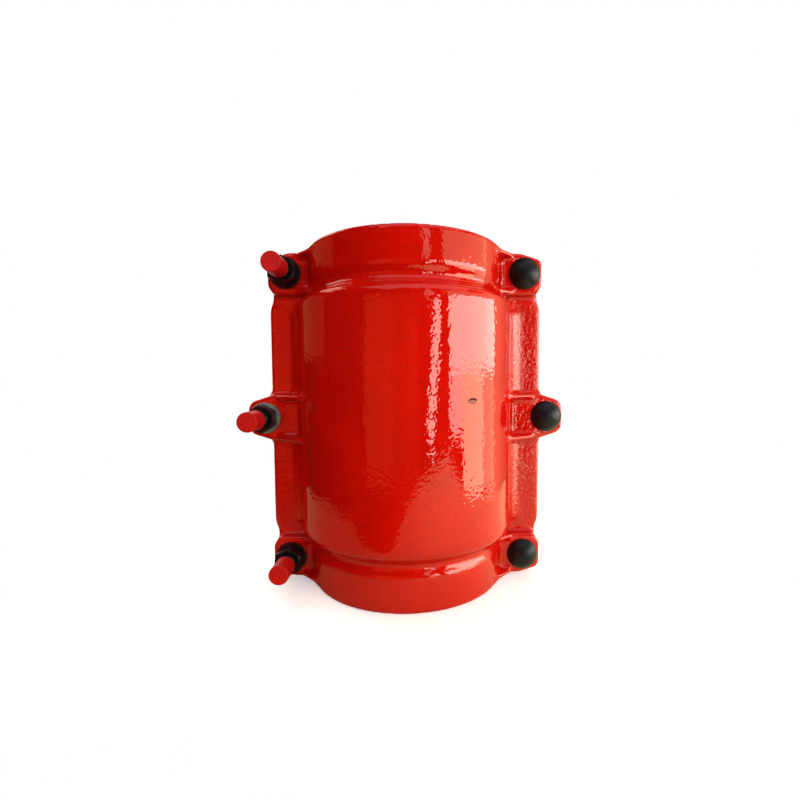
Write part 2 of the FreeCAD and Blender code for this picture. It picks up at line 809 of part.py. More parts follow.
def cap(name, x, z, head_in_front, out):
    """A soft cap pushed over the free end of the thread."""
    body = new_body(name)
    inside = S["bolt_radius"] + S["cap_play"]
    outside = inside + S["cap_wall"]
    mouth = cap_top - S["cap_length"]
    sketch = new_sketch(body, "CapProfile", "XZ_Plane")
    draw_outline(sketch, (
        (ZERO, cap_top),
        (outside, cap_top, S["cap_round"]),
        (outside, mouth),
        (inside, mouth),
        (inside, bolt_end),
        (ZERO, bolt_end),
    ))
    turn_feature(body, "Revolution", "Cap", sketch, 360)
    return lay_along_bolt(body, x, z, head_in_front, out=out)


# All sub-parts

parts = [
    shell("front_shell", False),
    shell("rear_shell", True),
    seal("front_seal", False),
    seal("rear_seal", True),
]
for place, x, z, head_in_front in BOLTS:
    parts.append(bolt("bolt_" + place, x, z, head_in_front))
    parts.append(washer("washer_" + place, x, z, head_in_front))
    parts.append(nut("nut_" + place, x, z, head_in_front, NUT_TURNS[place]))
    out = S["middle_left_cap_out"] if place == "left_middle" else ZERO
    parts.append(cap("cap_" + place, x, z, head_in_front, out))

doc.recompute()

for item in doc.Objects:
    if "Invalid" in item.State or "Error" in item.State:
        raise RuntimeError("%s failed: %s" % (item.Name, item.State))
for part in parts:
    if part.Shape.isNull() or not part.Shape.isValid():
        raise RuntimeError("%s has no valid shape" % part.Label)

os.makedirs("parts", exist_ok=True)
for part in parts:
    part.Shape.exportStep("parts/%s.step" % part.Label)
    print("%-22s %d solid(s) %10.1f mm3" % (part.Label, len(part.Shape.Solids),
                                            part.Shape.Volume))
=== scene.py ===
import math

import bmesh
import bpy
from bpy.props import FloatProperty, FloatVectorProperty, IntProperty, PointerProperty
from mathutils import Matrix, Vector


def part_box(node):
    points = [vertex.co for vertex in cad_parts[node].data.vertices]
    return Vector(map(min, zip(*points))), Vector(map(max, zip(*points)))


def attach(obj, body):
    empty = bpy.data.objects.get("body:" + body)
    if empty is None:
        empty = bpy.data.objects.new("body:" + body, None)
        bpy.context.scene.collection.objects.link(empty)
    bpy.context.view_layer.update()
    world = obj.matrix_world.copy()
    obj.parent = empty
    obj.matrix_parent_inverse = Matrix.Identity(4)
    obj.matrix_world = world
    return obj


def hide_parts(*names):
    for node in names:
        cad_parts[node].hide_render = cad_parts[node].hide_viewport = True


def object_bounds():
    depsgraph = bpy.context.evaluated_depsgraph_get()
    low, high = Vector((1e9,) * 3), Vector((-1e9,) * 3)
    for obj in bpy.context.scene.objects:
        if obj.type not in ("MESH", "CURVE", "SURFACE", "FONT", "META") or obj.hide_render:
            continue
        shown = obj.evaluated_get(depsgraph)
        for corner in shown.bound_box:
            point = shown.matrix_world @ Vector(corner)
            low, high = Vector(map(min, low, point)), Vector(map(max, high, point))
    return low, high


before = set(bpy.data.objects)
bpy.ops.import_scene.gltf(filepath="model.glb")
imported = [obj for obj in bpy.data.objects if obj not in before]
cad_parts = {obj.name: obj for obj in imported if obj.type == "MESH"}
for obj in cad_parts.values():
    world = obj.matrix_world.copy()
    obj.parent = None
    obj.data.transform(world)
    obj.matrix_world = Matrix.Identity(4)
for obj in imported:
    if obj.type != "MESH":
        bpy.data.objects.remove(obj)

bl_info = {
    "name": "Pipe repair clamp",
    "version": (1, 0, 0),
    "blender": (4, 5, 0),
    "location": "3D View > Sidebar > Pipe clamp",
    "description": "Finishes the cast halves, seals and bolts of a pipe repair clamp",
    "category": "Object",
}

CAD_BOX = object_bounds()

MM = 0.001
MERGE_DISTANCE = 1e-6
PLACES = ("right_top", "right_middle", "right_bottom",
          "left_top", "left_middle", "left_bottom")

HOLLOW_SHARE = 0.05
SMOOTHING = 0.5
WAVE_LENGTH = 0.022

# Bolts: radii and places along the bolt, from the parting plane, in metres
BOLT_RADIUS = 0.008
BOLT_STEPS = 64
SHARP_EDGE = math.radians(28)
HEAD_RADIUS = 0.015
HEAD_SEAT = -0.024
HEAD_RIM = -0.026
HEAD_TOP = -0.0345
HEAD_RINGS = 14
NECK_STRETCH = 0.0025
NECK_LENGTH = 0.009
NECK_STEPS = 48
SHANK_END = 0.0275
CORE_START = 0.0287
CORE_END = 0.0650
BOLT_END = 0.06595
END_BEVEL = 0.001

# Threads: radius and span in metres, the ridge's half widths as shares of the pitch,
# and how far its foot lies inside the core
THREAD_CREST = 0.0079
THREAD_START = 0.0285
THREAD_END = 0.0640
RIDGE_FOOT = 0.48
RIDGE_TOP = 0.08
RIDGE_SINK = 0.3 * MM
STEPS_PER_TURN = 28

# Coating: distances in metres, scales per metre, heights in millimetres
ENAMEL_SKIN = {"Grain_Scale": 360.0, "Grain_Height": 0.13,
               "Wave_Scale": 75.0, "Wave_Height": 0.10}
FLANGE_SIDE = (0.100, 0.108)
FLANGE_DEPTH = (0.027, 0.022)
PEBBLE_SIZE = 0.0028
PEBBLE_HEIGHT = 0.42
PITS = {"Scale": 130.0, "Radius": 0.16, "Density": 0.10}
PIT_HEIGHT = -0.10
PATCH_TONES = (0.90, 1.04)
MOTTLE_SIZE = 0.0022
MOTTLE_RANGE = (0.58, 0.72)
MOTTLE_TONE = 0.72

# The chip and the dark specks in the front half's coating: place on the barrel,
# half width and half height, in metres; specks up to WIDEST_SPECK are dark all over
CHIPS = (
    ((0.0566, -0.0896, 0.0183), 0.0054, 0.0025),
    ((0.0036, -0.1059, 0.0707), 0.0010, 0.0006),
    ((0.0019, -0.1060, 0.0471), 0.0009, 0.0005),
    ((-0.0504, -0.0933, 0.0624), 0.0009, 0.0005),
)
WIDEST_SPECK = 0.002
CHIP_DEPTH = 0.25
CHIP_RAGGED_SIZE = 0.002
CHIP_RAGGED_SHARE = 0.7
CHIP_EDGE = (1.30, 1.18)
ARC_EDGE = (1.15, 1.35)
ENAMEL_ROUGHNESS = 0.6
CHIP_ROUGHNESS = 0.8

# Plain finishes: the slow waves of their skin and the tones of their patches
PLAIN_WAVES = {"Wave_Scale": 120.0, "Wave_Height": 0.03}
PLAIN_TONES = (0.8, 1.15)
BLUED = (0.70, 0.86, 1.0, 1.0)

# Sockets of a Mix node that mixes colours
MIX_FIRST, MIX_SECOND, MIX_RESULT = 6, 7, 2

# Room: how far away its panes stand, its colours, the azimuths between which it is
# warm, and the edge of the white backdrop as a share of straight behind
ROOM = 3.0
ROOM_DIM = (0.012, 0.010, 0.010)
ROOM_WARM = (2.1, 1.5, 0.85)
WARMEST_AZIMUTH = 103.0
LAST_WARM_AZIMUTH = 150.0
BACKDROP_EDGE = 0.74

# Floor: its outline from above, its colours, and how it changes outwards, across and
# to the back; all in metres
FLOOR = ((-0.42, 1.60), (-0.42, -0.08), (-0.27, -0.22), (-0.06, -0.22), (0.0, -0.45),
         (0.14, -0.60), (0.66, -0.76), (0.40, -0.25), (0.44, 0.0), (0.44, 1.60))
FLOOR_PALE = (0.88, 0.88, 0.88)
# Colours of the floor as the enamel mirrors it: painted shade on the left, painted light on
# the right
FLOOR_PAINTED_SHADE_LEFT = (0.34, 0.22, 0.12)
FLOOR_PAINTED_LIGHT_RIGHT = (1.0, 0.85, 0.5)
FLOOR_ROUGHNESS = 0.9
FLOOR_WHITE_FROM = (0.20, 0.42)
FLOOR_SHADE_TO_LIGHT_ACROSS = (-0.15, 0.35)
FLOOR_BEHIND = (0.30, 0.50)
FLOOR_GLOW = 0.5
# Painted glow of the mirrored floor, rising towards the right: painted light, though the
# floor is no lamp
MIRRORED_PAINTED_GLOW = 0.6
MIRRORED_PAINTED_GLOW_ACROSS = (-0.20, 0.16)

# Lamps: angles in degrees, azimuth 0 in front and 90 on the right
WHITE = (1.0, 1.0, 1.0)
IVORY = (1.0, 0.97, 0.84)
CREAM = (1.0, 0.92, 0.60)
RED = (1.0, 0.09, 0.03)

# Panes whose brightness is a share of the setting:
# name, azimuths, elevations, share, colour, tilt, whether it also lights rough surfaces
BRIGHT_PANES = (
    ("pane_right", (44, 103), (2.3, 15), 1.0, IVORY, 0, True),
    ("pane_right_low_left", (44, 59.5), (-7, 2.3), 0.70, IVORY, 0, True),
    ("pane_right_low_middle", (59.5, 85), (-15.5, 2.3), 0.80, CREAM, 0, False),
    ("pane_right_low_right", (85, 103), (-15.5, 2.3), 0.36, CREAM, 0, True),
    ("pane_right_high", (44, 103), (15, 30), 0.2, CREAM, 0, True),
    ("pane_narrow", (25, 31), (-9, 13), 0.9, IVORY, -24, True),
    ("pane_narrow_high", (20, 26), (13, 30), 0.2, IVORY, 0, True),
)

# Panes with a brightness of their own: name, azimuths, elevations, radiance, colour
DIM_PANES = (
    ("pane_left_rear", (-140, -90), (4, 24), 0.45, (1.0, 0.26, 0.10)),
    ("pane_red_left", (-41, -13), (-13, 14), 2.0, RED),
    ("pane_red_front", (-13, 12), (-13, 14), 1.0, RED),
    ("pane_rear", (-172, -155), (-25, 25), 1.5, (1.0, 0.8, 0.6)),
    ("pane_left_high", (-135, -95), (34, 54), 2.2, (1.0, 0.70, 0.55)),
)

# A broad mirrored lamp above: azimuth, elevation, width, height, radiance, colour
OVERHEAD = (20, 62, 5.0, 2.6, 1.1, (1.0, 0.80, 0.78))

# Lamps that aren't mirrored: name, setting, share, azimuth, elevation, size, colour
SOFTBOXES = (
    ("key", "key", 1.0, 32, 30, 0.9, (1.0, 0.98, 0.95)),
    ("fill", "fill", 1.0, -40, 20, 1.2, WHITE),
    ("ceiling", "ceiling", 1.0, 0, 88, 1.2, WHITE),
    ("back_left", "back", 1.0, -140, 25, 1.2, WHITE),
    ("back_right", "back", 0.6, 150, 25, 1.2, WHITE),
)

# Camera: millimetres, shares of the sensor, metres, and radians for the roll
CAMERA_SENSOR = 36.0
CAMERA_LENS = 19.665
CAMERA_SHIFT = (-0.0316, 0.0098)
CAMERA_CLIP = (0.01, 50.0)
CAMERA_PLACE = (0.00689, -0.453786, 0.034556)
CAMERA_FORWARD = (0.02684916, 0.99786925, -0.0594649)
CAMERA_ROLL = -0.0044


class ClampSizes(bpy.types.PropertyGroup):
    skin_cell: FloatProperty(
        name="Skin cell", description="Size of the cells that soften the cast surface",
        default=0.00192, min=0.001, max=0.01, subtype="DISTANCE", unit="LENGTH")
    edge_passes: IntProperty(
        name="Edge passes", description="How often all edges of the casting are softened",
        default=4, min=0, max=30)
    corner_passes: IntProperty(
        name="Corner passes", description="How often its inner corners are filled further",
        default=4, min=0, max=60)
    skin_wave: FloatProperty(
        name="Skin wave", description="Height of the slow waves in the cast surface",
        default=0.00015, min=0.0, max=0.002, subtype="DISTANCE", unit="LENGTH")
    thread_pitch: FloatProperty(
        name="Thread pitch", description="Distance between two turns of the thread",
        default=0.002, min=0.001, max=0.004, subtype="DISTANCE", unit="LENGTH")
    thread_depth: FloatProperty(
        name="Thread depth", description="Depth of the thread below the bolt's surface",
        default=0.0012, min=0.0003, max=0.002, subtype="DISTANCE", unit="LENGTH")


class ClampColours(bpy.types.PropertyGroup):
    coating: FloatVectorProperty(
        name="Coating", description="Thick enamel on both cast halves",
        default=(0.55, 0.0052, 0.0012), min=0, max=1, size=3, subtype="COLOR")
    cap: FloatVectorProperty(
        name="Caps", description="Soft plastic of the thread caps",
        default=(0.56, 0.007, 0.005), min=0, max=1, size=3, subtype="COLOR")
    rubber: FloatVectorProperty(
        name="Rubber", description="Moulded rubber of the seals",
        default=(0.020, 0.020, 0.020), min=0, max=1, size=3, subtype="COLOR")
    black_steel: FloatVectorProperty(
        name="Black steel", description="Blackened bolts, nuts and outer washers",
        default=(0.003, 0.004, 0.006), min=0, max=1, size=3, subtype="COLOR")
    zinc: FloatVectorProperty(
        name="Zinc", description="Dull zinc on the middle washers",
        default=(0.20, 0.38, 0.35), min=0, max=1, size=3, subtype="COLOR")
    bare_iron: FloatVectorProperty(
        name="Bare iron", description="Iron that shows where the coating has chipped",
        default=(0.33, 0.15, 0.11), min=0, max=1, size=3, subtype="COLOR")


class StudioLight(bpy.types.PropertyGroup):
    panes: FloatProperty(
        name="Panes", description="Brightness of the large mirrored panes on the right",
        default=8.5, min=0, max=50)
    key: FloatProperty(
        name="Key", description="Light of the soft main lamp, front right",
        default=0.375, min=0, max=5)
    fill: FloatProperty(
        name="Fill", description="Light of the soft lamp, front left",
        default=0.18, min=0, max=5)
    ceiling: FloatProperty(
        name="Ceiling", description="Light that comes from above",
        default=0.35, min=0, max=5)
    back: FloatProperty(
        name="Back", description="Light that falls on the rear half",
        default=0.55, min=0, max=5)


# Shader nodes


def add_node(tree, kind, **settings):
    node = tree.nodes.new(kind)
    for name, value in settings.items():
        setattr(node, name, value)
    return node


def set_inputs(node, **values):
    """Sets input sockets by name; an underscore in the name stands for a space."""
    for name, value in values.items():
        node.inputs[name.replace("_", " ")].default_value = value
    return node


def feed(tree, socket, value):
    """Links another socket to this one, or sets it to a number or a colour."""
    if isinstance(value, bpy.types.NodeSocket):
        tree.links.new(value, socket)
    elif isinstance(value, (int, float)):
        socket.default_value = value
    else:
        socket.default_value = (*value, 1.0)


def math_node(tree, operation, *values):
    """The result of one operation on sockets and numbers."""
    node = add_node(tree, "ShaderNodeMath", operation=operation)
    for socket, value in zip(node.inputs, values):
        feed(tree, socket, value)
    return node.outputs[0]


def greatest(tree, masks):
    """The greatest of several masks."""
    result = masks[0]
    for mask in masks[1:]:
        result = math_node(tree, "MAXIMUM", result, mask)
    return result


def ranged(tree, value, low, high, to_low=0.0, to_high=1.0, smooth=True):
    """The value's course from low to high, as a number from to_low to to_high."""
    node = add_node(tree, "ShaderNodeMapRange")
    node.interpolation_type = "SMOOTHSTEP" if smooth else "LINEAR"
    set_inputs(node, From_Min=low, From_Max=high, To_Min=to_low, To_Max=to_high)
    tree.links.new(value, node.inputs["Value"])
    return node.outputs["Result"]


def mixed(tree, mask, first, second):
    """Two colours, each a socket or three numbers, mixed by a mask."""
    node = add_node(tree, "ShaderNodeMix", data_type="RGBA")
    tree.links.new(mask, node.inputs["Factor"])
    feed(tree, node.inputs[MIX_FIRST], first)
    feed(tree, node.inputs[MIX_SECOND], second)
    return node.outputs[MIX_RESULT]


def separated(tree, vector):
    """The X, Y and Z of a vector, as the outputs of one node."""
    split = add_node(tree, "ShaderNodeSeparateXYZ")
    tree.links.new(vector, split.inputs["Vector"])
    return split.outputs


def length_of(tree, vector):
    node = add_node(tree, "ShaderNodeVectorMath", operation="LENGTH")
    tree.links.new(vector, node.inputs[0])
    return node.outputs["Value"]


def noise(tree, vector, size, detail, roughness):
    """Noise whose waves are about that long, in metres."""
    node = add_node(tree, "ShaderNodeTexNoise")
    set_inputs(node, Scale=1.0 / size, Detail=detail, Roughness=roughness)
    tree.links.new(vector, node.inputs["Vector"])
    return node.outputs["Fac"]


def new_group(name, inputs, outputs):
    group = bpy.data.node_groups.new(name, "ShaderNodeTree")
    for socket, kind, default in inputs:
        made = group.interface.new_socket(socket, in_out="INPUT", socket_type=kind)
        if default is not None:
            made.default_value = default
    for socket, kind in outputs:
        group.interface.new_socket(socket, in_out="OUTPUT", socket_type=kind)
    entry = group.nodes.new("NodeGroupInput")
    end = group.nodes.new("NodeGroupOutput")
    return group, entry, end


def skin_group():
    """Orange peel and slow waves of a coated or moulded skin, as a height in millimetres."""
    name = "UnevenSkin"
    if name in bpy.data.node_groups:
        return bpy.data.node_groups[name]
    group, entry, end = new_group(
        name,
        (("Vector", "NodeSocketVector", None), ("Grain Scale", "NodeSocketFloat", 400.0),
         ("Grain Height", "NodeSocketFloat", 0.02), ("Wave Scale", "NodeSocketFloat", 60.0),
         ("Wave Height", "NodeSocketFloat", 0.1)),
        (("Height", "NodeSocketFloat"), ("Patches", "NodeSocketFloat")))
    heights = []
    for label, detail in (("Grain", 0.4), ("Wave", 1.0)):
        texture = add_node(group, "ShaderNodeTexNoise")
        set_inputs(texture, Detail=detail, Roughness=0.55)
        group.links.new(entry.outputs["Vector"], texture.inputs["Vector"])
        group.links.new(entry.outputs[label + " Scale"], texture.inputs["Scale"])
        heights.append(math_node(group, "MULTIPLY", texture.outputs["Fac"],
                                 entry.outputs[label + " Height"]))
    group.links.new(math_node(group, "ADD", *heights), end.inputs["Height"])
    patches = add_node(group, "ShaderNodeTexNoise")
    set_inputs(patches, Detail=3.0, Roughness=0.6, Scale=22.0)
    group.links.new(entry.outputs["Vector"], patches.inputs["Vector"])
    group.links.new(ranged(group, patches.outputs["Fac"], 0.35, 0.65), end.inputs["Patches"])
    return group


def speck_group():
    """Scattered small spots: Density is the share of cells that hold one."""
    name = "Specks"
    if name in bpy.data.node_groups:
        return bpy.data.node_groups[name]
    group, entry, end = new_group(
        name,
        (("Vector", "NodeSocketVector", None), ("Scale", "NodeSocketFloat", 90.0),
         ("Radius", "NodeSocketFloat", 0.10), ("Density", "NodeSocketFloat", 0.2)),
        (("Mask", "NodeSocketFloat"),))
    cells = add_node(group, "ShaderNodeTexVoronoi", voronoi_dimensions="3D")
    group.links.new(entry.outputs["Vector"], cells.inputs["Vector"])
    group.links.new(entry.outputs["Scale"], cells.inputs["Scale"])
    shape = add_node(group, "ShaderNodeMapRange", interpolation_type="SMOOTHSTEP")
    group.links.new(cells.outputs["Distance"], shape.inputs["Value"])
    group.links.new(entry.outputs["Radius"], shape.inputs["From Max"])
    set_inputs(shape, From_Min=0.0, To_Min=1.0, To_Max=0.0)
    split = add_node(group, "ShaderNodeSeparateColor")
    group.links.new(cells.outputs["Color"], split.inputs["Color"])
    chosen = math_node(group, "LESS_THAN", split.outputs[0], entry.outputs["Density"])
    group.links.new(math_node(group, "MULTIPLY", shape.outputs["Result"], chosen),
                    end.inputs["Mask"])
    return group


def place_group(tree, group, vector, **values):
    node = add_node(tree, "ShaderNodeGroup", node_tree=group)
    tree.links.new(vector, node.inputs["Vector"])
    return set_inputs(node, **values)


def new_finish(name, **values):
    """A material with one Principled shader, and its object coordinates."""
    material = bpy.data.materials.new(name)
    material.use_nodes = True
    tree = material.node_tree
    shader = tree.nodes["Principled BSDF"]
    set_inputs(shader, **values)
    coordinates = add_node(tree, "ShaderNodeTexCoord")
    return material, tree, shader, coordinates.outputs["Object"]


def add_bump(tree, shader, height):
    """Bump of base and coat, whose height is in millimetres."""
    bump = add_node(tree, "ShaderNodeBump")
    set_inputs(bump, Distance=MM, Strength=1.0)
    tree.links.new(height, bump.inputs["Height"])
    for socket in ("Normal", "Coat Normal"):
        tree.links.new(bump.outputs["Normal"], shader.inputs[socket])


def flange_mask(tree, place):
    """Where the flanges lie: beside the barrel and near the parting plane."""
    split = separated(tree, place)
    across = math_node(tree, "ABSOLUTE", split["X"])
    depth = math_node(tree, "ABSOLUTE", split["Y"])
    return math_node(tree, "MULTIPLY", ranged(tree, across, *FLANGE_SIDE),
                     ranged(tree, depth, *FLANGE_DEPTH))


def chip_masks(tree, place):
    """Masks of all chips and specks, and of their dark parts."""
    chips, arcs = [], []
    for centre, half_width, half_height in CHIPS:
        move = add_node(tree, "ShaderNodeMapping", vector_type="TEXTURE")
        move.inputs["Location"].default_value = centre
        move.inputs["Scale"].default_value = (half_width, half_width, half_height)
        tree.links.new(place, move.inputs["Vector"])
        local = move.outputs["Vector"]
        ragged = math_node(tree, "MULTIPLY",
                           noise(tree, place, CHIP_RAGGED_SIZE, 3.0, 0.6), CHIP_RAGGED_SHARE)
        edge = math_node(tree, "ADD", length_of(tree, local), ragged)
        chip = ranged(tree, edge, *CHIP_EDGE)
        arc = chip
        if half_width > WIDEST_SPECK:
            upper = math_node(tree, "ADD", separated(tree, local)["Z"], edge)
            arc = math_node(tree, "MULTIPLY", chip, ranged(tree, upper, *ARC_EDGE))
        chips.append(chip)
        arcs.append(arc)
    return greatest(tree, chips), greatest(tree, arcs)


def coating_finish(colours):
    """Glossy red enamel: orange peel, pits, rougher flanges, a chip and specks in front."""
    material, tree, shader, place = new_finish(
        "red_enamel", Coat_Weight=1.0, Coat_Roughness=0.03, Coat_IOR=1.5,
        Specular_IOR_Level=0.0)
    skin = place_group(tree, skin_group(), place, **ENAMEL_SKIN)
    pebble = noise(tree, place, PEBBLE_SIZE, 2.0, 0.6)
    rough_skin = math_node(tree, "MULTIPLY", pebble, flange_mask(tree, place))
    rough_skin = math_node(tree, "MULTIPLY", rough_skin, PEBBLE_HEIGHT)
    specks = place_group(tree, speck_group(), place, **PITS)
    pits = math_node(tree, "MULTIPLY", specks.outputs["Mask"], PIT_HEIGHT)
    chips, dark_parts = chip_masks(tree, place)
    height = math_node(tree, "ADD", skin.outputs["Height"], rough_skin)
    height = math_node(tree, "ADD", height, pits)
    height = math_node(tree, "SUBTRACT", height,
                       math_node(tree, "MULTIPLY", chips, CHIP_DEPTH))
    add_bump(tree, shader, height)
    red = Vector(colours.coating)
    shade = mixed(tree, skin.outputs["Patches"], *(red * tone for tone in PATCH_TONES))
    mottle = ranged(tree, noise(tree, place, MOTTLE_SIZE, 2.0, 0.7), *MOTTLE_RANGE)
    shade = mixed(tree, mottle, shade, red * MOTTLE_TONE)
    iron = mixed(tree, dark_parts, colours.bare_iron, colours.black_steel)
    tree.links.new(mixed(tree, chips, shade, iron), shader.inputs["Base Color"])
    tree.links.new(math_node(tree, "SUBTRACT", 1.0, chips), shader.inputs["Coat Weight"])
    tree.links.new(ranged(tree, chips, 0.0, 1.0, ENAMEL_ROUGHNESS, CHIP_ROUGHNESS),
                   shader.inputs["Roughness"])
    return material


def plain_finish(name, colour, grain_size, grain_height, **values):
    """One colour with a fine grain and slightly darker and lighter patches."""
    material, tree, shader, place = new_finish(name, **values)
    skin = place_group(tree, skin_group(), place, Grain_Scale=1.0 / grain_size,
                       Grain_Height=grain_height, **PLAIN_WAVES)
    tones = (Vector(colour) * tone for tone in PLAIN_TONES)
    tree.links.new(mixed(tree, skin.outputs["Patches"], *tones), shader.inputs["Base Color"])
    add_bump(tree, shader, skin.outputs["Height"])
    return material


# Meshes


def add_piece(name, bm, material, body, nodes):
    """A finished piece that rides on its body and stands for its CAD nodes."""
    mesh = bpy.data.meshes.new(name)
    bm.to_mesh(mesh)
    bm.free()
    piece = bpy.data.objects.new(name, mesh)
    bpy.context.scene.collection.objects.link(piece)
    mesh.materials.append(material)
    for face in mesh.polygons:
        face.use_smooth = True
    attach(piece, body)
    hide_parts(*nodes)
    return piece


def dress(node, material):
    """Gives a CAD node its finish."""
    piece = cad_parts[node]
    piece.data.materials.clear()
    piece.data.materials.append(material)


def merged_copy(node):
    """A CAD node's mesh with its loose triangles joined at their corners."""
    bm = bmesh.new()
    bm.from_mesh(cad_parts[node].data)
    bmesh.ops.remove_doubles(bm, verts=bm.verts, dist=MERGE_DISTANCE)
    return bm


def baked(piece):
    """The piece's mesh with its modifiers applied, as a new bmesh."""
    depsgraph = bpy.context.evaluated_depsgraph_get()
    bm = bmesh.new()
    bm.from_object(piece, depsgraph)
    return bm


def hollow_corners(mesh, level):
    """The vertices that lie that far below their neighbours, and the neighbours."""
    bm = bmesh.new()
    bm.from_mesh(mesh)
    bm.normal_update()
    inner = set()
    for vert in bm.verts:
        around = [edge.other_vert(vert) for edge in vert.link_edges]
        middle = sum((other.co for other in around), Vector()) / len(around)
        if (middle - vert.co).dot(vert.normal) > level:
            inner.add(vert.index)
            inner.update(other.index for other in around)
    bm.free()
    return sorted(inner)


def add_smoothing(piece, name, passes):
    smoothing = piece.modifiers.new(name, "SMOOTH")
    smoothing.factor = SMOOTHING
    smoothing.iterations = passes
    return smoothing


def soften(bm, sizes):
    """Turns the merged solid into a soft cast skin: cells, filled corners, smooth edges."""
    mesh = bpy.data.meshes.new("skin")
    bm.to_mesh(mesh)
    bm.free()
    skin = bpy.data.objects.new("skin", mesh)
    bpy.context.scene.collection.objects.link(skin)
    cells = skin.modifiers.new("Cells", "REMESH")
    cells.mode = "VOXEL"
    cells.voxel_size = sizes.skin_cell * 1.0
    remeshed = baked(skin)
    skin.modifiers.clear()
    remeshed.to_mesh(mesh)
    remeshed.free()
    group = skin.vertex_groups.new(name="inner")
    group.add(hollow_corners(mesh, sizes.skin_cell * HOLLOW_SHARE), 1.0, "REPLACE")
    corners = add_smoothing(skin, "Corners", sizes.corner_passes)
    corners.vertex_group = group.name
    add_smoothing(skin, "Edges", sizes.edge_passes)
    texture = bpy.data.textures.new("CastWaves", "CLOUDS")
    texture.noise_scale = WAVE_LENGTH
    waves = skin.modifiers.new("Waves", "DISPLACE")
    waves.texture = texture
    waves.texture_coords = "LOCAL"
    waves.strength = sizes.skin_wave
    waves.mid_level = 0.5
    done = baked(skin)
    bpy.data.objects.remove(skin)
    return done


def dome_profile(radius, seat, rim, top, rings):
    """Points of a domed head's half section, from the crown's middle to its seat."""
    rise = rim - top
    crown = (radius * radius + rise * rise) / (2 * rise)
    widest = math.asin(radius / crown)
    points = []
    for i in range(rings + 1):
        angle = widest * i / rings
        points.append((crown * math.sin(angle), top + crown * (1 - math.cos(angle))))
    points.append((radius, seat))
    return points


def lathe(bm, profile, steps):
    """Spins a half section (radius, height) round the Z axis into a closed shape."""
    verts = [bm.verts.new((radius, 0.0, height)) for radius, height in profile]
    edges = [bm.edges.new(pair) for pair in zip(verts, verts[1:])]
    bmesh.ops.spin(bm, geom=verts + edges, cent=(0, 0, 0), axis=(0, 0, 1),
                   angle=math.tau, steps=steps, use_merge=True)
    bmesh.ops.remove_doubles(bm, verts=bm.verts, dist=MERGE_DISTANCE)


def thread(bm, crest, root, pitch, low, high):
    """A ridge that winds round the core from low to high."""
    base = root - RIDGE_SINK
    profile = ((base, -RIDGE_FOOT), (root, -RIDGE_FOOT), (crest, -RIDGE_TOP),
               (crest, RIDGE_TOP), (root, RIDGE_FOOT), (base, RIDGE_FOOT))
    verts = [bm.verts.new((radius, 0.0, low + share * pitch)) for radius, share in profile]
    edges = [bm.edges.new((verts[i - 1], verts[i])) for i in range(len(verts))]
    turns = (high - low) / pitch
    steps = max(1, round(turns * STEPS_PER_TURN))
    made = bmesh.ops.spin(bm, geom=verts + edges, cent=(0, 0, 0), axis=(0, 0, 1),
                          dvec=(0, 0, (high - low) / steps), angle=math.tau * turns,
                          steps=steps, use_merge=False)
    last = [item for item in made["geom_last"] if isinstance(item, bmesh.types.BMVert)]
    bmesh.ops.contextual_create(bm, geom=verts)
    bmesh.ops.contextual_create(bm, geom=last)


def bolt_place(place):
    """Turns a bolt made along +Z, head first, to where its CAD node lies."""
    low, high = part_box("bolt_" + place)
    side = 1 if place.startswith("right") else -1
    turn = Matrix.Rotation(math.radians(-90 * side), 4, "X")
    middle = (low + high) / 2
    return Matrix.Translation((middle.x, 0.0, middle.z)) @ turn


def body_of_bolt(place):
    return "front_half" if place.startswith("right") else "rear_half"


# Operators


class PIPECLAMP_OT_cast_halves(bpy.types.Operator):
    """Builds the soft cast skin of both halves and coats them red"""
    bl_idname = "pipe_clamp.cast_halves"
    bl_label = "Cast halves"

    def execute(self, context):
        sizes = context.scene.clamp_sizes
        coating = coating_finish(context.scene.clamp_colours)
        skin = soften(merged_copy("front_shell"), sizes)
        turned = skin.copy()
        bmesh.ops.rotate(turned, verts=turned.verts, cent=(0, 0, 0),
                         matrix=Matrix.Rotation(math.pi, 3, "Z"))
        add_piece("cast_front_half", skin, coating, "front_half",
                  nodes=("front_shell",))
        add_piece("cast_rear_half", turned, coating, "rear_half",
                  nodes=("rear_shell",))
        return {"FINISHED"}


class PIPECLAMP_OT_seals(bpy.types.Operator):
    """Gives both moulded seals their black rubber"""
    bl_idname = "pipe_clamp.seals"
    bl_label = "Rubber seals"

    def execute(self, context):
        rubber = plain_finish("black_rubber", context.scene.clamp_colours.rubber,
                              0.0015, 0.02, Roughness=0.62)
        for node in ("front_seal", "rear_seal"):
            dress(node, rubber)
        return {"FINISHED"}


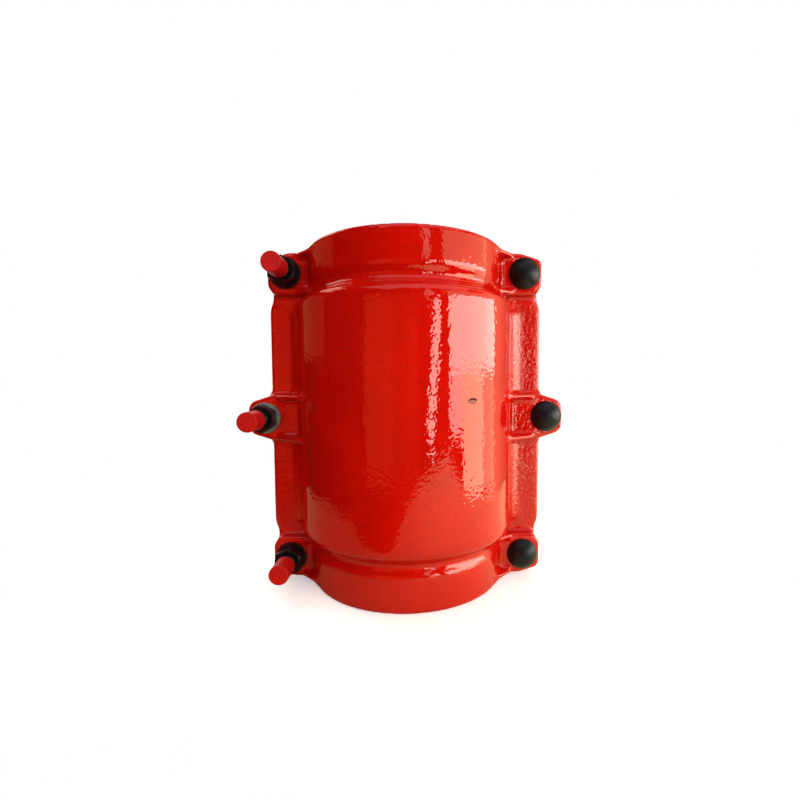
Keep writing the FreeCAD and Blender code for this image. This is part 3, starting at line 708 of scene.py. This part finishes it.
class PIPECLAMP_OT_bolts(bpy.types.Operator):
    """Builds the six domed bolts with oval necks and wound threads"""
    bl_idname = "pipe_clamp.bolts"
    bl_label = "Domed bolts"

    def execute(self, context):
        sizes = context.scene.clamp_sizes
        root = BOLT_RADIUS - sizes.thread_depth
        steel = plain_finish("black_bolt_steel", context.scene.clamp_colours.black_steel,
                             0.0012, 0.02, Roughness=0.38, Specular_IOR_Level=0.28,
                             Specular_Tint=BLUED)
        for place in PLACES:
            bm = bmesh.new()
            self.head_and_shank(bm, root)
            self.oval_neck(bm)
            thread(bm, THREAD_CREST, root, sizes.thread_pitch, THREAD_START, THREAD_END)
            bmesh.ops.recalc_face_normals(bm, faces=bm.faces)
            bmesh.ops.transform(bm, matrix=bolt_place(place), verts=bm.verts)
            piece = add_piece("domed_bolt_" + place, bm, steel, body_of_bolt(place),
                              nodes=("bolt_" + place,))
            piece.data.set_sharp_from_angle(angle=SHARP_EDGE)
        return {"FINISHED"}

    def head_and_shank(self, bm, root):
        profile = dome_profile(HEAD_RADIUS, HEAD_SEAT, HEAD_RIM, HEAD_TOP, HEAD_RINGS)
        profile += [(BOLT_RADIUS, HEAD_SEAT), (BOLT_RADIUS, SHANK_END), (root, CORE_START),
                    (root, CORE_END), (root - END_BEVEL, BOLT_END), (0.0, BOLT_END)]
        lathe(bm, profile, BOLT_STEPS)

    def oval_neck(self, bm):
        made = bmesh.ops.create_circle(bm, cap_ends=True, segments=NECK_STEPS,
                                       radius=BOLT_RADIUS)
        for vert in made["verts"]:
            vert.co.y += math.copysign(NECK_STRETCH, vert.co.y)
            vert.co.z = HEAD_SEAT
        face = made["verts"][0].link_faces[0]
        grown = bmesh.ops.extrude_face_region(bm, geom=[face])
        top = [item for item in grown["geom"] if isinstance(item, bmesh.types.BMVert)]
        bmesh.ops.translate(bm, vec=(0, 0, NECK_LENGTH), verts=top)


class PIPECLAMP_OT_washers(bpy.types.Operator):
    """Gives the middle washers their dull zinc, and the others dark steel"""
    bl_idname = "pipe_clamp.washers"
    bl_label = "Washers"

    def execute(self, context):
        colours = context.scene.clamp_colours
        zinc = plain_finish("dull_zinc", colours.zinc, 0.0010, 0.02, Roughness=0.45,
                            Metallic=0.4)
        dark = plain_finish("dark_washer_steel", colours.black_steel, 0.0010, 0.02,
                            Roughness=0.4)
        for place in PLACES:
            dress("washer_" + place, zinc if place.endswith("middle") else dark)
        return {"FINISHED"}


class PIPECLAMP_OT_nuts(bpy.types.Operator):
    """Gives the nuts their black finish"""
    bl_idname = "pipe_clamp.nuts"
    bl_label = "Nuts"

    def execute(self, context):
        steel = plain_finish("black_nut_steel", context.scene.clamp_colours.black_steel,
                             0.0012, 0.015, Roughness=0.34, Specular_IOR_Level=0.35,
                             Specular_Tint=BLUED)
        for place in PLACES:
            dress("nut_" + place, steel)
        return {"FINISHED"}


class PIPECLAMP_OT_thread_caps(bpy.types.Operator):
    """Gives the caps on the thread ends their soft red plastic"""
    bl_idname = "pipe_clamp.thread_caps"
    bl_label = "Thread caps"

    def execute(self, context):
        plastic = plain_finish("soft_red_plastic", context.scene.clamp_colours.cap,
                               0.0015, 0.01, Roughness=0.5, Specular_IOR_Level=0.2)
        for place in PLACES:
            dress("cap_" + place, plastic)
        return {"FINISHED"}


def towards(azimuth, elevation, distance):
    """A place seen from the clamp, by its angles in degrees."""
    turn, rise = math.radians(azimuth), math.radians(elevation)
    return distance * Vector((math.sin(turn) * math.cos(rise),
                              -math.cos(turn) * math.cos(rise), math.sin(rise)))


def add_lamp(name, place, width, height, radiance, colour, tilt=0.0):
    """A soft rectangular lamp that faces the clamp."""
    light = bpy.data.lights.new(name, "AREA")
    light.shape = "RECTANGLE"
    light.size = width
    light.size_y = height
    light.color = colour
    light.energy = radiance * math.pi * width * height
    lamp = bpy.data.objects.new(name, light)
    bpy.context.scene.collection.objects.link(lamp)
    lamp.location = place
    facing = (-place).to_track_quat("-Z", "Y").to_matrix()
    turn = Matrix.Rotation(math.radians(tilt), 3, "Z")
    lamp.rotation_euler = (facing @ turn).to_euler()
    lamp.visible_camera = False
    return lamp


def add_pane(name, azimuths, elevations, radiance, colour, tilt=0.0):
    """A lamp that spans these azimuths and elevations, mirrored in the enamel."""
    place = towards(sum(azimuths) / 2, sum(elevations) / 2, ROOM)
    width, height = (2 * ROOM * math.tan(math.radians(high - low) / 2)
                     for low, high in (azimuths, elevations))
    return add_lamp(name, place, width, height, radiance, colour, tilt)


def add_softbox(name, azimuth, elevation, size, light, colour):
    """A lamp that gives light and no reflection; light 1 shows a colour as written."""
    place = towards(azimuth, elevation, ROOM / 2)
    radiance = light * math.pi * (ROOM / 2) ** 2 / (size * size)
    lamp = add_lamp(name, place, size, size, radiance, colour)
    lamp.visible_glossy = False
    return lamp


def direct_or_mirrored(tree, path, behind):
    """A mask of the rays that see the white backdrop: straight, or mirrored behind."""
    mirrored = math_node(tree, "MULTIPLY", path.outputs["Is Glossy Ray"], behind)
    straight = math_node(tree, "MAXIMUM", path.outputs["Is Camera Ray"],
                         path.outputs["Is Transmission Ray"])
    return math_node(tree, "MAXIMUM", straight, mirrored)


class PIPECLAMP_OT_studio(bpy.types.Operator):
    """Builds the pale floor, the room, the lamps and the camera"""
    bl_idname = "pipe_clamp.studio"
    bl_label = "Studio"

    def execute(self, context):
        context.scene.view_settings.view_transform = "Standard"
        self.add_floor()
        self.add_room(context)
        self.add_lamps(context.scene.studio_light)
        self.add_camera(context)
        return {"FINISHED"}

    def add_floor(self):
        bm = bmesh.new()
        corners = [bm.verts.new((x, y, CAD_BOX[0].z)) for x, y in FLOOR]
        bmesh.ops.contextual_create(bm, geom=corners)
        mesh = bpy.data.meshes.new("floor")
        bm.to_mesh(mesh)
        bm.free()
        floor = bpy.data.objects.new("floor", mesh)
        bpy.context.scene.collection.objects.link(floor)
        mesh.materials.append(self.floor_finish())

    def floor_finish(self):
        """Pale and shaded near the clamp, white far away; in the enamel's mirror, painted
        shade on the left and painted light and glow on the right.
        """
        material, tree, shader, place = new_finish("pale_floor", Roughness=FLOOR_ROUGHNESS)
        path = add_node(tree, "ShaderNodeLightPath")
        split = separated(tree, place)
        behind = ranged(tree, split["Y"], *FLOOR_BEHIND)
        direct = direct_or_mirrored(tree, path, behind)
        # Mirrored floor colour, from painted shade on the left to painted light on the right
        painted_light_rightwards = ranged(tree, split["X"], *FLOOR_SHADE_TO_LIGHT_ACROSS, smooth=False)
        warm = mixed(tree, painted_light_rightwards, FLOOR_PAINTED_SHADE_LEFT, FLOOR_PAINTED_LIGHT_RIGHT)
        pale = mixed(tree, direct, warm, FLOOR_PALE)
        tree.links.new(pale, shader.inputs["Base Color"])
        # Painted glow on the right of the floor as mirrored: painted light, though the floor
        # is no lamp
        painted_mirrored_glow = ranged(tree, split["X"], *MIRRORED_PAINTED_GLOW_ACROSS, to_high=MIRRORED_PAINTED_GLOW)
        glow = add_node(tree, "ShaderNodeEmission")
        tree.links.new(pale, glow.inputs["Color"])
        tree.links.new(greatest(tree, (
            math_node(tree, "MULTIPLY", direct, FLOOR_GLOW),
            math_node(tree, "MULTIPLY", path.outputs["Is Glossy Ray"], painted_mirrored_glow),
        )), glow.inputs["Strength"])
        near = add_node(tree, "ShaderNodeAddShader")
        tree.links.new(shader.outputs["BSDF"], near.inputs[0])
        tree.links.new(glow.outputs["Emission"], near.inputs[1])
        white = add_node(tree, "ShaderNodeEmission")
        far = ranged(tree, length_of(tree, place), *FLOOR_WHITE_FROM)
        both = add_node(tree, "ShaderNodeMixShader")
        tree.links.new(math_node(tree, "MULTIPLY", far, direct), both.inputs["Fac"])
        tree.links.new(near.outputs["Shader"], both.inputs[1])
        tree.links.new(white.outputs["Emission"], both.inputs[2])
        output = tree.nodes["Material Output"]
        tree.links.new(both.outputs["Shader"], output.inputs["Surface"])
        return material

    def add_room(self, context):
        """White behind the clamp; elsewhere a dim room, warm at the right rear."""
        world = bpy.data.worlds.new("room")
        context.scene.world = world
        world.use_nodes = True
        tree = world.node_tree
        coordinates = add_node(tree, "ShaderNodeTexCoord")
        split = separated(tree, coordinates.outputs["Generated"])
        azimuth = math_node(tree, "ARCTAN2", split["X"],
                            math_node(tree, "MULTIPLY", split["Y"], -1.0))
        azimuth = math_node(tree, "DEGREES", azimuth)
        warm = ranged(tree, azimuth, LAST_WARM_AZIMUTH, WARMEST_AZIMUTH, smooth=False)
        warm = math_node(tree, "MULTIPLY", warm, warm)
        warm = math_node(tree, "MULTIPLY", warm,
                         math_node(tree, "GREATER_THAN", azimuth, WARMEST_AZIMUTH))
        shade = mixed(tree, warm, ROOM_DIM, ROOM_WARM)
        path = add_node(tree, "ShaderNodeLightPath")
        behind = math_node(tree, "GREATER_THAN", split["Y"], BACKDROP_EDGE)
        seen = mixed(tree, direct_or_mirrored(tree, path, behind), shade, WHITE)
        tree.links.new(seen, tree.nodes["Background"].inputs["Color"])

    def add_lamps(self, light):
        for name, azimuths, elevations, share, colour, tilt, on_rough in BRIGHT_PANES:
            pane = add_pane(name, azimuths, elevations, light.panes * share, colour, tilt)
            pane.visible_diffuse = on_rough
        for pane in DIM_PANES:
            add_pane(*pane)
        azimuth, elevation, width, height, radiance, colour = OVERHEAD
        overhead = add_lamp("overhead", towards(azimuth, elevation, ROOM), width, height,
                            radiance, colour)
        overhead.visible_diffuse = False
        for name, setting, share, azimuth, elevation, size, colour in SOFTBOXES:
            add_softbox(name, azimuth, elevation, size, getattr(light, setting) * share,
                        colour)

    def add_camera(self, context):
        camera = bpy.data.cameras.new("camera")
        camera.sensor_width = CAMERA_SENSOR
        camera.lens = CAMERA_LENS
        camera.shift_x, camera.shift_y = CAMERA_SHIFT
        camera.clip_start, camera.clip_end = CAMERA_CLIP
        eye = bpy.data.objects.new("camera", camera)
        context.scene.collection.objects.link(eye)
        look = Vector(CAMERA_FORWARD).to_track_quat("-Z", "Y").to_matrix()
        roll = Matrix.Rotation(CAMERA_ROLL, 3, "Z")
        eye.matrix_world = Matrix.Translation(CAMERA_PLACE) @ (look @ roll).to_4x4()
        context.scene.camera = eye


class PIPECLAMP_PT_panel(bpy.types.Panel):
    bl_label = "Pipe clamp"
    bl_space_type = "VIEW_3D"
    bl_region_type = "UI"
    bl_category = "Pipe clamp"

    def draw(self, context):
        for operator in OPERATORS:
            self.layout.operator(operator.bl_idname)
        for group in (context.scene.clamp_sizes, context.scene.clamp_colours,
                      context.scene.studio_light):
            for name in group.__annotations__:
                self.layout.prop(group, name)


OPERATORS = (
    PIPECLAMP_OT_cast_halves,
    PIPECLAMP_OT_seals,
    PIPECLAMP_OT_bolts,
    PIPECLAMP_OT_washers,
    PIPECLAMP_OT_nuts,
    PIPECLAMP_OT_thread_caps,
    PIPECLAMP_OT_studio,
)
CLASSES = (ClampSizes, ClampColours, StudioLight) + OPERATORS + (PIPECLAMP_PT_panel,)


def register():
    for item in CLASSES:
        bpy.utils.register_class(item)
    bpy.types.Scene.clamp_sizes = PointerProperty(type=ClampSizes)
    bpy.types.Scene.clamp_colours = PointerProperty(type=ClampColours)
    bpy.types.Scene.studio_light = PointerProperty(type=StudioLight)


def unregister():
    del bpy.types.Scene.studio_light
    del bpy.types.Scene.clamp_colours
    del bpy.types.Scene.clamp_sizes
    for item in reversed(CLASSES):
        bpy.utils.unregister_class(item)


def main():
    register()
    bpy.ops.pipe_clamp.cast_halves()
    bpy.ops.pipe_clamp.seals()
    bpy.ops.pipe_clamp.bolts()
    bpy.ops.pipe_clamp.washers()
    bpy.ops.pipe_clamp.nuts()
    bpy.ops.pipe_clamp.thread_caps()
    bpy.ops.pipe_clamp.studio()


if __name__ == "__main__":
    main()
